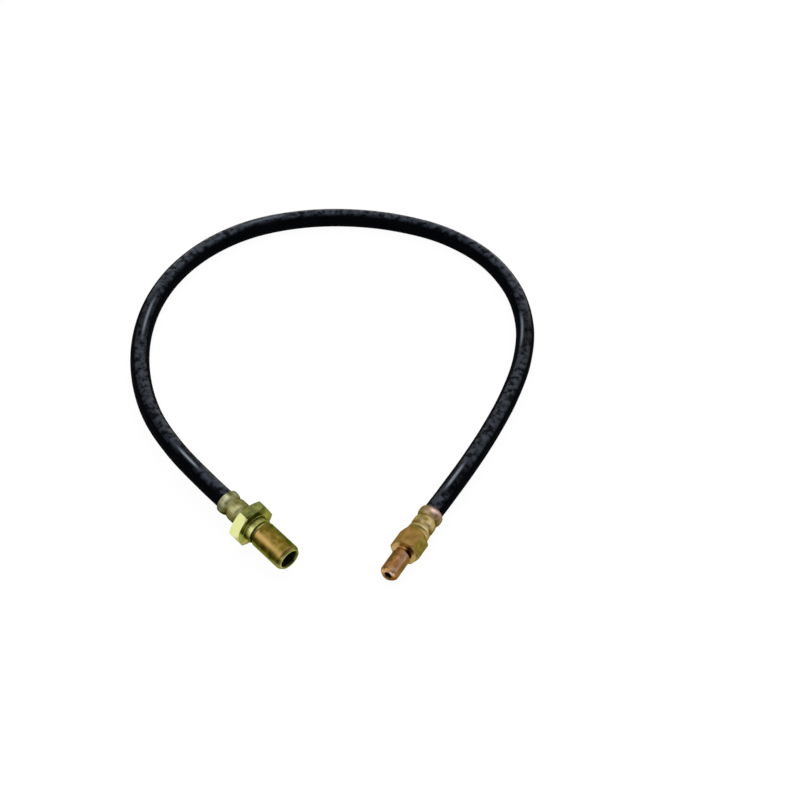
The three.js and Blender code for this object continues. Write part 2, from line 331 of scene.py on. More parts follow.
ZINC_CRIMP_GREEN = make_zinc(
    "yellow zinc, crimped, green",
    cool_film=[(0.0, "#2a2a14"), (0.3, "#6b673c"), (0.6, "#a09c6a"), (1.0, "#c8c890")],
    warm_film=[(0.0, "#2a2a1a"), (0.3, "#69694a"), (0.6, "#a0a07a"), (1.0, "#d4d4b0")],
    painted_shade_colour="#3a3618",
    roughness=0.3,
    edge_tint="#8c8c6e",
)
ZINC_CRIMP_GOLD = make_zinc(
    "yellow zinc, crimped, gold",
    cool_film=[(0.0, "#463c24"), (0.3, "#807040"), (0.6, "#b09b64"), (1.0, "#d8c492")],
    warm_film=[(0.0, "#3a2820"), (0.3, "#7c6456"), (0.6, "#b49484"), (1.0, "#f4d4cc")],
    painted_shade_colour="#42280c",
    roughness=0.3,
    edge_tint="#b0a484",
)
print("zinc:", ZINC_GREEN.name, "/", ZINC_GOLD.name)

# %% Plain steel and brass


def make_metal(name, colour, roughness):
    s = Shader(name)
    return s.finish({
        "Base Color": srgb(colour),
        "Metallic": 1.0,
        "Roughness": roughness,
        "Normal": s.bump(s.noise(3000, 2), 0.00001),
    })


STEEL = make_metal("turned steel", "#a8a49a", 0.3)
BRASS = make_metal("turned brass", "#b99650", 0.32)

# %% [markdown]
# ## The route of the hose
#
# The hose leaves the female fitting straight, sags to the surface, runs round the loop and
# comes back into the male fitting. The route is a smooth curve through the same points as in
# the CAD model.

# %% Route
FEMALE = {"x": -35.4, "y": -4.6, "heading": 90, "flats": 22.0}
MALE = {"x": -0.2, "y": -40.3, "heading": 19, "flats": 14.3}
MOUTH = 49                               # stations along a fitting's axis, from its free end
HOSE_END = 36.5
LYING = 5.28                             # height of the centreline on the surface

LOOP = [
    (-35.3, 59.2, 10.9),
    (-32.7, 88.7, 9.3),
    (-25.2, 117.2, 6.9),
    (-11.5, 143.5, 5.6),
    (7.1, 166.3, LYING),
    (30.5, 184.8, LYING),
    (57.4, 197.3, LYING),
    (86.3, 202.9, LYING),
    (115.8, 201.2, LYING),
    (144.3, 191.7, LYING),
    (169.8, 176.2, LYING),
    (191.3, 155.7, LYING),
    (207.1, 130.9, LYING),
    (213.2, 101.7, LYING),
    (207.1, 73, LYING),
    (191.1, 47.9, LYING),
    (168.6, 28.2, LYING),
    (143.1, 13.2, LYING),
    (116, 0.7, 5.7),
    (88.3, -10.2, 6.6),
    (60, -19.9, 7.1),
]


def on_axis(fitting, station):
    """A point on a fitting's axis, in millimetres."""
    angle = math.radians(fitting["heading"])
    return (
        fitting["x"] + station * math.cos(angle),
        fitting["y"] + station * math.sin(angle),
        fitting["flats"] / 2,
    )


def smooth_curve(points, steps):
    """The centripetal Catmull-Rom curve through the points, with steps for each span."""
    p = np.array(points, dtype=float)
    p = np.vstack([2 * p[0] - p[1], p, 2 * p[-1] - p[-2]])
    t = np.linspace(0, 1, steps, endpoint=False)[:, None]
    spans = []
    for a, b, c, d in zip(p, p[1:], p[2:], p[3:]):
        d0, d1, d2 = (math.sqrt(np.linalg.norm(q)) for q in (b - a, c - b, d - c))
        start = ((b - a) / d0 - (c - a) / (d0 + d1) + (c - b) / d1) * d1
        end = ((c - b) / d1 - (d - b) / (d1 + d2) + (d - c) / d2) * d1
        spans.append(
            b + start * t
            + (3 * (c - b) - 2 * start - end) * t ** 2
            + (2 * (b - c) + start + end) * t ** 3
        )
    return np.vstack([*spans, p[-2][None]])


ROUTE = smooth_curve(
    [on_axis(FEMALE, HOSE_END), on_axis(FEMALE, MOUTH), *LOOP,
     on_axis(MALE, MOUTH), on_axis(MALE, HOSE_END)],
    steps=16,
) * MM

# %% Helpers for objects


def link(name, mesh, material):
    """An object at the origin, with one material and smooth shading."""
    thing = bpy.data.objects.new(name, mesh)
    bpy.context.scene.collection.objects.link(thing)
    mesh.materials.clear()
    mesh.materials.append(material)
    mesh.shade_smooth()
    return thing


def stand_in(thing, node):
    """The thing is what shows of a CAD node."""
    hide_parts(node)
    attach(thing, "root")
    return thing


# %% [markdown]
# ## The hose, swept along its route
#
# A hose is extruded and braided round a mandrel, layer on layer, so each layer is a ring
# swept along one line. Geometry Nodes sweeps the outer and the inner wall of a layer, and
# stores how far along the hose and how far round it each point is. The end rings are then
# closed between the two walls.

# %% Geometry Nodes for a layer of hose


def layer_nodes():
    """A node group that sweeps a ring along a curve."""
    group = bpy.data.node_groups.new("layer of hose", "GeometryNodeTree")
    face = group.interface
    face.new_socket("Route", in_out="INPUT", socket_type="NodeSocketGeometry")
    for name in ("Outer radius", "Inner radius"):
        face.new_socket(name, in_out="INPUT", socket_type="NodeSocketFloat")
    face.new_socket("Sides", in_out="INPUT", socket_type="NodeSocketInt")
    face.new_socket("Material", in_out="INPUT", socket_type="NodeSocketMaterial")
    face.new_socket("Layer", in_out="OUTPUT", socket_type="NodeSocketGeometry")

    def add(kind, inputs, **settings):
        node = group.nodes.new(kind)
        for key, value in settings.items():
            setattr(node, key, value)
        for key, value in inputs.items():
            if isinstance(value, bpy.types.NodeSocket):
                group.links.new(value, node.inputs[key])
            else:
                node.inputs[key].default_value = value
        return node

    given = group.nodes.new("NodeGroupInput").outputs
    place = group.nodes.new("GeometryNodeSplineParameter").outputs
    route = add("GeometryNodeStoreNamedAttribute",
                {"Geometry": given["Route"], "Name": "along", "Value": place["Length"]},
                data_type="FLOAT", domain="POINT").outputs["Geometry"]
    walls = []
    for name in ("Outer radius", "Inner radius"):
        ring = add("GeometryNodeCurvePrimitiveCircle",
                   {"Resolution": given["Sides"], "Radius": given[name]}).outputs["Curve"]
        ring = add("GeometryNodeStoreNamedAttribute",
                   {"Geometry": ring, "Name": "around", "Value": place["Factor"]},
                   data_type="FLOAT", domain="POINT").outputs["Geometry"]
        walls.append(add("GeometryNodeCurveToMesh",
                         {"Curve": route, "Profile Curve": ring}).outputs["Mesh"])
    inside = add("GeometryNodeFlipFaces", {"Mesh": walls[1]}).outputs["Mesh"]
    joined = group.nodes.new("GeometryNodeJoinGeometry")
    group.links.new(walls[0], joined.inputs[0])
    group.links.new(inside, joined.inputs[0])
    real = add("GeometryNodeRealizeInstances", {"Geometry": joined.outputs[0]})
    painted = add("GeometryNodeSetMaterial",
                  {"Geometry": real.outputs[0], "Material": given["Material"]})
    result = group.nodes.new("NodeGroupOutput")
    group.links.new(painted.outputs[0], result.inputs["Layer"])
    return group


LAYER_NODES = layer_nodes()

# %% One layer of hose


def route_object():
    """The route as a curve object, which the node group sweeps along."""
    curve = bpy.data.curves.new("route", "CURVE")
    curve.dimensions = "3D"
    spline = curve.splines.new("POLY")
    spline.points.add(len(ROUTE) - 1)
    spline.points.foreach_set("co", np.hstack([ROUTE, np.ones((len(ROUTE), 1))]).ravel())
    thing = bpy.data.objects.new("route", curve)
    bpy.context.scene.collection.objects.link(thing)
    return thing


NEAR_AN_END = 10 * MM


def close_ends(mesh):
    """Joins the outer and inner wall at both ends, and turns every face outwards."""
    work = bmesh.new()
    work.from_mesh(mesh)
    for end in (ROUTE[0], ROUTE[-1]):
        near = [e for e in work.edges if e.is_boundary
                and (e.verts[0].co - Vector(end)).length < NEAR_AN_END]
        bmesh.ops.bridge_loops(work, edges=near)
    bmesh.ops.recalc_face_normals(work, faces=work.faces)
    work.to_mesh(mesh)
    work.free()


def sweep_layer(name, inner, outer, sides, material):
    """One layer of the hose as a plain mesh object."""
    route = route_object()
    modifier = route.modifiers.new("layer", "NODES")
    modifier.node_group = LAYER_NODES
    given = {"Outer radius": outer * MM, "Inner radius": inner * MM,
             "Sides": sides, "Material": material}
    for item in LAYER_NODES.interface.items_tree:
        if item.in_out == "INPUT" and item.name in given:
            modifier[item.identifier] = given[item.name]
    bpy.context.view_layer.update()
    shown = route.evaluated_get(bpy.context.evaluated_depsgraph_get())
    mesh = bpy.data.meshes.new_from_object(shown)
    mesh.name = name
    bpy.data.objects.remove(route)
    close_ends(mesh)
    return link(name, mesh, material)


# %% [markdown]
# ### Painted highlight lines
#
# In a few places a thin bright line of painted highlight runs along the crest of the cover,
# between the mottled stretches. Each point of the cover carries two numbers for that: how
# strong the painted highlight is, and how calm the mottle is round it.

# %% Painted highlight lines
PAINTED_HIGHLIGHT_LINES = [
    # mm along the hose, half its length, degrees from the top towards the inside of the loop,
    # strength
    (44, 8, -7, 0.85),
    (159, 14, 5, 0.6),
    (273, 14, 0, 0.35),
    (482, 12, 28, 0.65),
    (610, 10, 11, 0.9),
]
PAINTED_HIGHLIGHT_WIDTH = 6                         # degrees
CALM_REACH = 1.3                         # how much further the calm goes than the line


def places_on_the_cover(mesh):
    """Each point's metres along the hose, and its degrees from the top towards the inside of
    the loop."""
    count = len(mesh.vertices)
    along = np.empty(count)
    mesh.attributes["along"].data.foreach_get("value", along)
    normal = np.empty(3 * count)
    mesh.vertex_normals.foreach_get("vector", normal)
    normal = normal.reshape(-1, 3)
    steps = np.linalg.norm(np.diff(ROUTE, axis=0), axis=1)
    reached = np.concatenate([[0], np.cumsum(steps)])
    way = np.gradient(ROUTE, axis=0)
    way = np.stack([np.interp(along, reached, way[:, k]) for k in range(3)], axis=1)
    side = np.cross(way, [0, 0, 1])
    side /= np.linalg.norm(side, axis=1)[:, None]
    return along, np.degrees(np.arctan2((normal * side).sum(axis=1), normal[:, 2]))


def add_painted_highlights(mesh):
    """Stores the painted highlight lines and "calm" on each point of the cover."""
    along, angle = places_on_the_cover(mesh)
    painted_highlight, calm = np.zeros(len(along)), np.zeros(len(along))
    for middle, half, degrees, strength in PAINTED_HIGHLIGHT_LINES:
        apart = (along - middle * MM) / (half * MM)
        line = np.exp(-apart ** 4 - ((angle - degrees) / PAINTED_HIGHLIGHT_WIDTH) ** 2)
        painted_highlight = np.maximum(painted_highlight, strength * line)
        fade = np.exp(-(apart / CALM_REACH) ** 4)
        calm = np.maximum(calm, min(1.0, 1.3 * strength) * fade)
    for key, value in (("painted_highlight", painted_highlight), ("calm", calm)):
        mesh.attributes.new(key, "FLOAT", "POINT").data.foreach_set("value", value)


# %% The five layers
LAYERS = [
    # CAD node, inner radius, outer radius, sides, material, slot
    ("hose_liner", 1.70, 2.40, 24, INNER_RUBBER, "hose_rubber"),
    ("hose_inner_braid", 2.71, 3.06, 32, BRAID, "braid_yarn"),
    ("hose_tie_rubber", 3.37, 3.62, 32, INNER_RUBBER, "hose_rubber"),
    ("hose_outer_braid", 3.93, 4.28, 32, BRAID, "braid_yarn"),
    ("hose_cover", 4.59, 5.25, 48, RUBBER, "hose_rubber"),
]
hose = []
for node, inner, outer, sides, material, slot in LAYERS:
    layer = sweep_layer(node + "_look", inner, outer, sides, material)
    hose.append(stand_in(layer, node))
cover = hose[-1]
add_painted_highlights(cover.data)
print("hose layers:", ", ".join(f"{h.name} {len(h.data.polygons)} faces" for h in hose))

# %% [markdown]
# ## Turned pieces
#
# Every metal piece is turned from bar on a lathe, so its shape is an outline spun round its
# axis. Here a piece is a closed sheet of rows, each row one turn round the axis. A row says
# for each angle how far along the axis it is and how far out. A plain row is a circle, and
# rows of a hexagon or a thread change with the angle. Small rounds are put on every corner,
# as a tool leaves them.

# %% Rows round an axis


class Rows:
    """Rows of (station, radius) for each angle, in millimetres. Angles are measured from
    straight up, towards the right as seen from the fitting's free end."""

    def __init__(self, angles):
        self.angles = np.asarray(angles)
        self.stations = []
        self.radii = []
        self.painted_shade = []
        self.films_and_painted_light = []
        self.warmths = []
        self.film_and_painted_light = 0.5
        self.warmth = 0.0

    def put(self, station, radius, painted_shade=0.0):
        size = len(self.angles)
        self.stations.append(np.broadcast_to(station, size).astype(float))
        self.radii.append(np.broadcast_to(radius, size).astype(float))
        self.painted_shade.append(np.broadcast_to(painted_shade, size).astype(float))
        self.films_and_painted_light.append(np.broadcast_to(self.film_and_painted_light, size).astype(float))
        self.warmths.append(np.broadcast_to(self.warmth, size).astype(float))

    def round_the_axis(self, stops):
        """A value for each angle, from a few stops of (degrees, value)."""
        return np.interp(np.degrees(self.angles), *zip(*stops), period=360)

    def on_the_flats(self, stops):
        """The same, but each flat of a hexagon has the one value of its middle."""
        middles = 60 * np.round(np.degrees(self.angles) / 60)
        return np.interp(middles, *zip(*stops), period=360)

    def outline(self, points, fillet=0.15):
        """Circles along an outline of (station, radius[, painted shade]), rounded at its
        corners.
        """
        for station, radius, painted_shade in rounded(points, fillet):
            self.put(station, radius, painted_shade)


def rounded(points, fillet):
    """Rounds the inner corners of an open outline and keeps its two ends."""
    full = [(*p, 0.0)[:3] if len(p) == 2 else tuple(p) for p in points]
    p = np.array(full, dtype=float)
    result = [p[0]]
    for before, corner, after in zip(p, p[1:], p[2:]):
        back, ahead = before - corner, after - corner
        back_length = math.hypot(back[0], back[1])
        ahead_length = math.hypot(ahead[0], ahead[1])
        cut = min(fillet, 0.45 * back_length, 0.45 * ahead_length)
        start = corner + back * cut / back_length
        end = corner + ahead * cut / ahead_length
        edge = 0.3 * cut
        result.append(corner + back * (cut + edge) / back_length)
        for t in np.linspace(0, 1, 5):
            result.append((1 - t) ** 2 * start + 2 * t * (1 - t) * corner + t ** 2 * end)
        result.append(corner + ahead * (cut + edge) / ahead_length)
    result.append(p[-1])
    return [tuple(q) for q in result]


def spin(name, fitting, rows, material):
    """Turns the closed sheet of rows into an object on the fitting's axis."""
    station = np.array(rows.stations)
    radius = np.array(rows.radii)
    count, around = station.shape
    heading = math.radians(fitting["heading"])
    axis = np.array([math.cos(heading), math.sin(heading), 0])
    side = np.array([math.sin(heading), -math.cos(heading), 0])
    up = np.array([0, 0, 1.0])
    out = np.cos(rows.angles)[:, None] * up + np.sin(rows.angles)[:, None] * side
    points = (
        np.array(on_axis(fitting, 0))
        + station[..., None] * axis
        + radius[..., None] * out[None]
    ) * MM
    index = np.arange(count * around).reshape(count, around)
    a, b = index, np.roll(index, -1, axis=1)
    c, d = np.roll(b, -1, axis=0), np.roll(index, -1, axis=0)
    quads = np.stack([a, d, c, b], axis=-1).reshape(-1, 4)
    mesh = bpy.data.meshes.new(name)
    mesh.from_pydata(points.reshape(-1, 3).tolist(), [], quads.tolist())
    for key, value in (("painted_shade", rows.painted_shade), ("film_and_painted_light", rows.films_and_painted_light), ("warmth", rows.warmths)):
        attribute = mesh.attributes.new(key, "FLOAT", "POINT")
        attribute.data.foreach_set("value", np.array(value).ravel())
    mesh.update()
    turn_outwards(mesh)
    return link(name, mesh, material)


def turn_outwards(mesh):
    """Flips every face if the closed mesh's volume comes out negative."""
    work = bmesh.new()
    work.from_mesh(mesh)
    if work.calc_volume(signed=True) < 0:
        bmesh.ops.reverse_faces(work, faces=work.faces)
    work.to_mesh(mesh)
    work.free()


# %% [markdown]
# ### Hexagons and threads
#
# A hexagon's corners are turned off at about 30 degrees, which leaves the curved edges that
# every nut shows. Its radius at an angle is the nearest flat's, or the chamfer's where that
# is less, with a soft minimum between them for the rounded edges. A thread is a groove whose
# depth depends on the station less the turn, which makes a right-hand helix.

# %% Hexagon and thread rows
FROM_A_CORNER = [0, 0.5, 1.1, 2, 3.5, 6, 9, 12.5, 16, 20, 25]     # degrees
FACE_INSET = 0.2                         # of the round end face, inside the flats
EDGE_ROUND = 0.06                        # between two flats, or a flat and the chamfer
CHAMFER_STEPS = np.array([0, 0.03, 0.08, 0.14, 0.2, 0.3, 0.42, 0.55, 0.7, 0.86, 1.05])


def hexagon_angles():
    """Angles round a hexagon, closer together near its six corners."""
    near = np.array(FROM_A_CORNER)
    far = 60 - near[:0:-1]
    pattern = np.concatenate([near, [30], far])
    corners = 30 + 60 * np.arange(6)
    return np.radians((corners[:, None] + pattern[None]).ravel())


ANGLES = hexagon_angles()
ROUND_ANGLES = np.linspace(0, 2 * math.pi, 96, endpoint=False)


def soft_least(values, width):
    """The least of several values, with the change from one to the next rounded."""
    least = np.min(values, axis=0)
    return least - width * np.log(sum(np.exp((least - v) / width) for v in values))


def hexagon_rows(rows, flats, start, end, chamfer=0.9):
    """A hexagon from start to end, lying on one flat, with both ends chamfered."""
    half = flats / 2
    flat_angles = np.radians(60 * np.arange(6))
    facing = [half / np.maximum(np.cos(rows.angles - f), 0.2) for f in flat_angles]
    corner = flats / math.sqrt(3)
    face = half - FACE_INSET
    slope = chamfer / (corner - face)
    near = start + CHAMFER_STEPS * chamfer
    far = end - CHAMFER_STEPS[::-1] * chamfer
    middle = np.linspace(near[-1], far[0], 8)[1:-1]
    for station in [*near, *middle, *far]:
        least = min(station - start, end - station)
        cone = np.full(len(rows.angles), face + least / slope)
        rows.put(station, soft_least([*facing, cone], EDGE_ROUND))


# A thread's height over one pitch is a trapezoid, with a flat on the crest and one at the root.
THREAD_FLANK = 2.1
THREAD_LEVEL = 1.55
ROWS_PER_PITCH = 8


def thread_rows(rows, start, end, minor, major, fade_in, fade_out, painted_shade):
    """A 1 mm pitch right-hand thread. The fades are the lengths of its run-in and run-out,
    and the last argument is its painted shade on the crest and at the root."""
    turn = rows.angles / (2 * math.pi)
    step = 1 if end > start else -1
    for station in np.arange(start, end, step / ROWS_PER_PITCH):
        phase = (station - turn) % 1.0
        height = np.clip(THREAD_LEVEL - np.abs(2 * phase - 1) * THREAD_FLANK, 0, 1)
        fade = min(1.0, abs(station - start) / fade_in, abs(end - station) / fade_out)
        rows.put(station, minor + (major - minor) * height * fade,
                 painted_shade[0] + (painted_shade[1] - painted_shade[0]) * (1 - height))


# %% [markdown]
# ## The ferrules
#
# A ferrule is a thin steel cup. The hose is pushed into it, and eight dies then squeeze it
# into two grooves, which lock it on the hose and leave a slightly eight-sided trace. Soft
# patches of paler and darker film on the shell are painted highlights and painted shade.

# %% Ferrules
FERRULE_LENGTH = 16
FERRULE_BACK = MOUTH - FERRULE_LENGTH
FERRULE_FLOOR = 1.5                      # thickness of the floor, which catches the neck
FERRULE_HOLE = 3.95                      # radius of the hole in it
FERRULE_BORE = 5.6
GROOVES = (5.5, 12.6)                    # how far the two grooves are from the mouth
SQUEEZE = (0.62, 0.5)                    # depth of each
SHELL = 6.2                              # radius of the plain shell
LIP = 0.42                               # how much prouder the first bead is
LIP_SLOPE = (1.9, 4.9)                   # where it falls to the plain shell, from the mouth
GROOVE_WIDTH = 1.35
DIES = 8
DIE_TRACE = (0.02, 0.16)                 # depth on the plain shell, and for each mm of squeeze
WARM_BEAD = (5, 2)                       # length of the warm tone at the mouth, and its fade
ROW_STEP = 0.22


def ferrule_radius(station):
    """The shell's outer radius at a station, and how far the dies squeezed it there."""
    depth = MOUTH - station
    first, second = GROOVES
    fall_from, fall_to = LIP_SLOPE
    step = min(max((depth - fall_from) / (fall_to - fall_from), 0), 1)
    radius = SHELL + LIP * (1 - step * step * (3 - 2 * step))
    squeeze = SQUEEZE[0] * math.exp(-((depth - first) / GROOVE_WIDTH) ** 2)
    squeeze += SQUEEZE[1] * math.exp(-((depth - second) / (0.8 * GROOVE_WIDTH)) ** 2)
    return radius - squeeze, squeeze


def painted_spot(rows, station, distance, degrees, change, length, width):
    """A soft patch of painted highlight where the change is positive, and of painted shade
    where it is negative.
    """
    apart = (np.degrees(rows.angles) - degrees + 180) % 360 - 180
    along = (MOUTH - station - distance) / length
    return change * np.exp(-along ** 2 - (apart / width) ** 2)


def build_ferrule(node, fitting, material, film_and_painted_light, warmth, painted_spots):
    """Film, with its painted highlights and painted shade, and warmth go round the shell. Each
    painted spot is its distance from the mouth in mm, the degrees round the axis, the change it
    makes to the chromate colour, its length in mm and its width in degrees."""
    rows = Rows(ROUND_ANGLES)
    around = rows.round_the_axis(film_and_painted_light)
    warm = rows.round_the_axis(warmth)
    rows.film_and_painted_light = around
    back = FERRULE_BACK
    start = ferrule_radius(back + 0.5)[0]
    rows.outline([(back, FERRULE_HOLE), (back, start - 0.35), (back + 0.35, start)], 0.2)
    warm_length, warm_fade = WARM_BEAD
    for station in np.arange(back + 0.5, MOUTH - 0.7, ROW_STEP):
        radius, squeeze = ferrule_radius(station)
        dies = (DIE_TRACE[0] + DIE_TRACE[1] * squeeze) * np.cos(DIES * rows.angles)
        rows.warmth = warm * min(max((station - MOUTH + warm_length) / warm_fade, 0), 1)
        rows.film_and_painted_light = around + sum(painted_spot(rows, station, *each) for each in painted_spots)
        # Painted shade darkens the crimp grooves, in step with their depth.
        rows.put(station, radius + dies, 0.9 * squeeze)
    end = ferrule_radius(MOUTH - 0.6)[0]
    rows.outline([(MOUTH - 0.6, end), (MOUTH - 0.2, end - 0.1), (MOUTH, end - 0.5),
                  (MOUTH, 5.65)], 0.3)
    rows.warmth = 0.0
    floor = back + FERRULE_FLOOR
    # Painted shade darkens the bore inside the shell.
    for station in np.arange(MOUTH - 0.2, floor, -0.4):
        rows.put(station, min(FERRULE_BORE, ferrule_radius(station)[0] - 0.3), 0.8)
    rows.outline([(floor, 5.5), (floor, FERRULE_HOLE), (back + 0.1, FERRULE_HOLE)], 0.1)
    ferrule = spin(node + "_look", fitting, rows, material)
    return stand_in(ferrule, node)


# Film and warmth round the axis: degrees from the top, value. The film holds painted highlights
# and painted shade. Painted spots of highlight and shade: mm from the mouth, degrees from the
# top, change of film, length, width.
FEMALE_SHELL_FILM_AND_PAINTED_LIGHT = [(0, 0.38), (12, 0.4), (25, 0.5), (60, 0.5), (110, 0.3), (230, 0.2),
                     (265, 0.35), (285, 0.27), (300, 0.47), (310, 0.66), (330, 0.74),
                     (342, 0.78), (350, 0.52)]
FEMALE_SHELL_WARMTH = [(0, 1.0)]
FEMALE_PAINTED_SPOTS = [
    (3.2, -22, 0.3, 1.6, 20),
    (5.2, -22, 0.4, 1.2, 14),
    (6.2, 14, 0.4, 1.2, 18),
    (2.0, 2, -0.3, 1.6, 12),
    (1.4, -42, -0.25, 1.4, 14),
    (8.2, -14, -0.32, 1.6, 24),
    (11.7, -16, 0.35, 1.3, 16),
    (9.6, -42, 0.2, 1.4, 16),
]
MALE_SHELL_FILM_AND_PAINTED_LIGHT = [(0, 0.44), (10, 0.62), (20, 0.85), (38, 0.85), (50, 0.68), (60, 0.52),
                   (75, 0.48), (100, 0.3), (180, 0.1), (260, 0.2), (310, 0.42), (330, 0.34),
                   (350, 0.36)]
MALE_SHELL_WARMTH = [(0, 1.0), (50, 1.0), (75, 0.5), (280, 0.2), (320, 0.3), (345, 0.8)]
MALE_PAINTED_SPOTS = [
    (2.8, 10, 0.4, 1.1, 15),
    (2.8, 48, -0.3, 1.2, 20),
    (0.6, 18, -0.45, 0.9, 32),
    (4.8, -17, 0.35, 0.9, 12),
    (6.5, -36, 0.35, 1.0, 16),
    (11.8, 28, 0.35, 1.0, 20),
    (12.4, -2, 0.4, 1.1, 13),
    (4.1, 67, -0.25, 1.0, 14),
    (12.3, 75, -0.25, 1.3, 20),
    (0.3, -52, 0.15, 1.5, 18),
    (5.5, -14, 0.4, 1.0, 20),
    (5.5, 52, -0.15, 1.2, 15),
    (9.7, 12, -0.5, 1.6, 14),
    (9.5, -55, 0.35, 2.2, 20),
    (9.5, 62, 0.2, 2.0, 14),
    (14.5, -25, 0.15, 1.5, 25),
]
build_ferrule("female_ferrule", FEMALE, ZINC_CRIMP_GREEN,
              FEMALE_SHELL_FILM_AND_PAINTED_LIGHT, FEMALE_SHELL_WARMTH, FEMALE_PAINTED_SPOTS)
build_ferrule("male_ferrule", MALE, ZINC_CRIMP_GOLD,
              MALE_SHELL_FILM_AND_PAINTED_LIGHT, MALE_SHELL_WARMTH, MALE_PAINTED_SPOTS)
print("ferrules made")

# %% [markdown]
# ## The female fitting's body
#
# From its free end: a plain barrel that passes through a bracket on the vehicle, a groove for
# the spring clip that holds it there, a collar, and a large thin hexagon. The port inside
# takes the nut of a rigid pipe. Behind the hexagon a neck with a ring catches the ferrule.

# %% Neck and passage, the same on both bodies
SHOULDER_END = 32.7                      # where the neck starts
NECK = 3.6
RING = 4.4
STEM_SEAT = 1.7                          # radius of the seat that the stem is pressed into
STEM_SEAT_FROM = 29.7
PASSAGE = 1.5                            # radius of the way for the fluid


def neck_points(shoulder):
    """From the shoulder's face over the neck and its ring, and back along the passage."""
    return [
        (SHOULDER_END, shoulder), (SHOULDER_END, NECK), (34.8, NECK), (34.8, RING),
        (35.8, RING), (36.2, RING - 0.4), (36.2, STEM_SEAT), (STEM_SEAT_FROM, STEM_SEAT),
        (STEM_SEAT_FROM, PASSAGE),
    ]


# %% Female body
BARREL = 7.2                             # radius
GROOVE_FLOOR = 6.1                       # radius
FEMALE_HEX = (26.8, 32.7)                # stations of its two faces
FEMALE_HEX_FACE = 10.6                   # radius
PORT_THREAD = (4.45, 4.95)               # least and greatest radius
PORT_DRILLED = 4.3

# Film, warmth and painted shade round the axis: degrees from the top, value. The film values
# hold painted highlights and painted shade as well as the chromate's own tone.
RIM_FILM_AND_PAINTED_LIGHT = [(0, 0.6), (64, 0.42), (150, 0.5), (200, 0.6)]
FEMALE_FILM_AND_PAINTED_LIGHT = [(0, 0.27), (60, 0.35), (120, 0.35), (180, 0.4), (240, 0.75), (300, 1.05)]
FRONT_FILM_AND_PAINTED_LIGHT = [(0, 0.2), (27, 0.22), (45, 0.45), (180, 0.4), (230, 0.62), (300, 0.47),
              (335, 0.45)]
COLLAR_FILM_AND_PAINTED_LIGHT = [(0, 0.38), (15, 0.44), (60, 0.43), (180, 0.1), (260, 0.18), (270, 0.14),
               (280, 0.4), (290, 0.65), (300, 0.8), (308, 1.1), (314, 1.1), (321, 0.72),
               (330, 0.47), (350, 0.4)]
BARREL_FILM_AND_PAINTED_LIGHT = [(0, 0.4), (12, 0.36), (24, 0.28), (36, 0.3), (60, 0.33), (100, 0.3),
               (180, 0.15), (250, 0.4), (258, 0.42), (264, 0.35), (270, 0.25), (276, 0.14),
               (288, 0.17), (294, 0.23), (300, 0.41), (306, 0.6), (312, 0.84), (318, 0.92),
               (324, 0.7), (331, 0.54), (342, 0.47), (354, 0.4)]
BARREL_WARMTH = [(0, 1.0), (12, 0.8), (24, 0.5), (36, 0.0), (272, 0.0), (280, 1.0)]
JUNCTION_SHADE = [(0, 0.15), (60, 0.1), (120, 0.6), (265, 0.6), (300, 0.7), (330, 0.4)]
GROOVE_FILM_AND_PAINTED_LIGHT = [(0, 0.42), (30, 0.32), (60, 0.34), (180, 0.2), (300, 0.42), (340, 0.52)]
GROOVE_SHADE = [(0, 0.0), (60, 0.1), (120, 1.0), (270, 0.9), (280, 0.9), (290, 0.85),
                (300, 0.75), (325, 0.45), (340, 0.1)]


